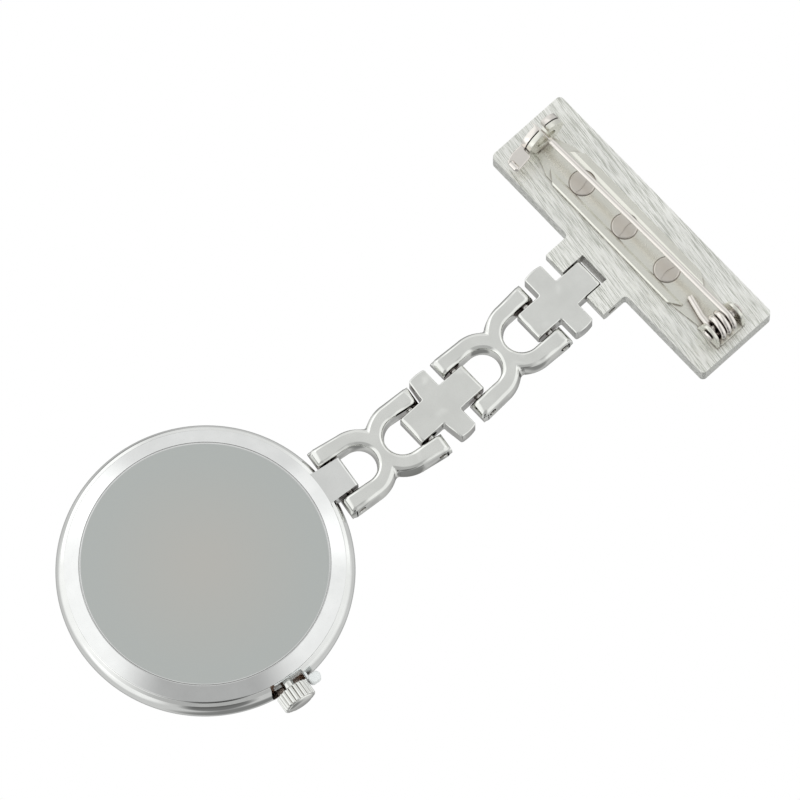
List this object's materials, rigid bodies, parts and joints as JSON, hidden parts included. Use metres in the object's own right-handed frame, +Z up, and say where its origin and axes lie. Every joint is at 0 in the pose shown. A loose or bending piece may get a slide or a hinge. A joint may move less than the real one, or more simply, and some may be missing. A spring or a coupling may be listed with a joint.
{
  "type": "fob watch",
  "caption": "Fob watch: a brooch plate with a safety pin, a chain of alternating cross and bow links, and a round quartz watch head hung upside down with a pulled-out crown.",
  "frame": {"origin": "centre of the brooch plate's front face", "axes": "+Z up towards the brooch when the watch hangs; the dial faces -Y and the garment side faces +Y"},
  "size_m": [0.0342, 0.0108, 0.0744],
  "materials": {
    "plate_steel": "brushed lengthwise",
    "polished_chrome": "polished",
    "satin_back": "fine satin",
    "nickel": "bright, slightly warm",
    "movement_brass": "satin",
    "movement_steel": "satin",
    "crystal_glass": "clear",
    "white_plastic": "moulded",
    "clip_plastic": "translucent",
    "black_rubber": "matt",
    "dial_paint": "semi-matt white",
    "black_paint": "semi-gloss",
    "red_paint": "semi-gloss",
    "copper_wire": "enamelled copper",
    "board": "flexible board"
  },
  "bodies": {
    "brooch": {"brooch_plate": "plate_steel", "pin_base": "nickel", "base_rivet_1": "nickel", "base_rivet_2": "nickel", "base_rivet_3": "nickel", "hinge_rivet": "nickel", "link_pin_1": "polished_chrome"},
    "needle": {"brooch_pin": "nickel"},
    "lock": {"catch_lock": "nickel"},
    "upper_cross": {"cross_link_upper": "polished_chrome"},
    "upper_bow": {"bow_link_upper": "polished_chrome", "link_pin_2": "polished_chrome", "link_pin_3": "polished_chrome"},
    "lower_cross": {"cross_link_lower": "polished_chrome"},
    "loose_pin": {"link_pin_4": "polished_chrome"},
    "lower_bow": {"bow_link_lower": "polished_chrome", "link_pin_5": "polished_chrome"},
    "head": {"case_body": "polished_chrome", "case_back": "satin_back", "case_back_gasket": "black_rubber", "bezel": "polished_chrome", "crystal": "crystal_glass", "crystal_gasket": "white_plastic", "dial": "dial_paint", "movement_holder": "white_plastic", "main_plate": "movement_brass", "train_bridge": "movement_steel", "bridge_screw_1": "movement_steel", "bridge_screw_2": "movement_steel", "bridge_screw_3": "movement_steel", "battery": "satin_back", "battery_clamp": "movement_brass", "clamp_screw": "movement_steel", "circuit_board": "board", "quartz_can": "satin_back", "stator": "movement_steel", "coil_core": "movement_steel", "coil": "copper_wire", "crown_tube": "polished_chrome", "crown_stop_clip": "clip_plastic"},
    "crown_seal": {"crown_gasket": "black_rubber"},
    "crown": {"crown": "polished_chrome", "crown_stem": "movement_steel"},
    "seconds": {"second_wheel": "movement_brass", "second_hand": "red_paint"},
    "minutes": {"centre_wheel": "movement_brass", "minute_hand": "black_paint"},
    "hours": {"hour_wheel": "movement_brass", "hour_hand": "black_paint"},
    "motor": {"rotor": "movement_steel"},
    "intermediate": {"intermediate_wheel": "white_plastic"},
    "third": {"third_wheel": "movement_brass"},
    "minute_work": {"minute_wheel": "movement_brass"}
  },
  "joints": [
    {"name": "pin_hinge", "type": "hinge", "parent": "brooch", "child": "needle", "pos_m": [-0.0133, 0.00435, 0], "axis": [0, 0, 1], "range_deg": [0, 75]},
    {"name": "catch_turn", "type": "hinge", "parent": "brooch", "child": "lock", "pos_m": [0.0135, 0.00515, 0], "axis": [1, 0, 0], "range_deg": [0, 90]},
    {"name": "link_hinge_1", "type": "hinge", "parent": "brooch", "child": "upper_cross", "pos_m": [0, 0.0013, -0.0066], "axis": [1, 0, 0], "range_deg": [-90, 90]},
    {"name": "link_hinge_2", "type": "hinge", "parent": "upper_cross", "child": "upper_bow", "pos_m": [0, 0.0013, -0.0128], "axis": [-1, 0, 0], "range_deg": [-90, 90]},
    {"name": "link_hinge_3", "type": "hinge", "parent": "upper_bow", "child": "lower_cross", "pos_m": [0, 0.0013, -0.0226], "axis": [1, 0, 0], "range_deg": [-90, 90]},
    {"name": "loose_pin_play", "type": "hinge", "parent": "lower_cross", "child": "loose_pin", "pos_m": [0, 0.0013, -0.0288], "axis": [0, 1, 0], "range_deg": [0, 16]},
    {"name": "link_hinge_4", "type": "hinge", "parent": "loose_pin", "child": "lower_bow", "pos_m": [0, 0.0013, -0.0288], "axis": [-0.9903, 0, -0.1392], "range_deg": [-90, 90]},
    {"name": "watch_hinge", "type": "hinge", "parent": "lower_bow", "child": "head", "pos_m": [0.00136, 0.0013, -0.0385], "axis": [0.9903, 0, 0.1392], "range_deg": [-90, 90]},
    {"name": "crown_push", "type": "slide", "parent": "head", "child": "crown_seal", "axis": [0.9903, 0, 0.1392], "range_m": [0, 0.0008]},
    {"name": "crown_spin", "type": "hinge", "parent": "crown_seal", "child": "crown", "pos_m": [0.00364, 0.0013, -0.0547], "axis": [0.9903, 0, 0.1392], "continuous": true},
    {"name": "second_spin", "type": "hinge", "parent": "head", "child": "seconds", "pos_m": [0.00364, 0.0013, -0.0547], "axis": [0, 1, 0], "continuous": true},
    {"name": "minute_spin", "type": "hinge", "parent": "head", "child": "minutes", "pos_m": [0.00364, 0.0013, -0.0547], "axis": [0, 1, 0], "continuous": true},
    {"name": "hour_spin", "type": "hinge", "parent": "head", "child": "hours", "pos_m": [0.00364, 0.0013, -0.0547], "axis": [0, 1, 0], "continuous": true},
    {"name": "rotor_spin", "type": "hinge", "parent": "head", "child": "motor", "pos_m": [0.00707, 0.0013, -0.05087], "axis": [0, 1, 0], "continuous": true},
    {"name": "intermediate_spin", "type": "hinge", "parent": "head", "child": "intermediate", "pos_m": [0.0064, 0.0013, -0.05254], "axis": [0, 1, 0], "continuous": true},
    {"name": "third_spin", "type": "hinge", "parent": "head", "child": "third", "pos_m": [0.00111, 0.0013, -0.05242], "axis": [0, 1, 0], "continuous": true},
    {"name": "minute_work_spin", "type": "hinge", "parent": "head", "child": "minute_work", "pos_m": [0.00067, 0.0013, -0.05511], "axis": [0, 1, 0], "continuous": true}
  ],
  "couplings": [
    {"joint": "minute_spin", "follows": "second_spin", "ratio": 0.016667},
    {"joint": "hour_spin", "follows": "second_spin", "ratio": 0.0013889},
    {"joint": "rotor_spin", "follows": "second_spin", "ratio": 30},
    {"joint": "intermediate_spin", "follows": "second_spin", "ratio": -6},
    {"joint": "third_spin", "follows": "second_spin", "ratio": -0.13333},
    {"joint": "minute_work_spin", "follows": "second_spin", "ratio": -0.0055556}
  ]
}
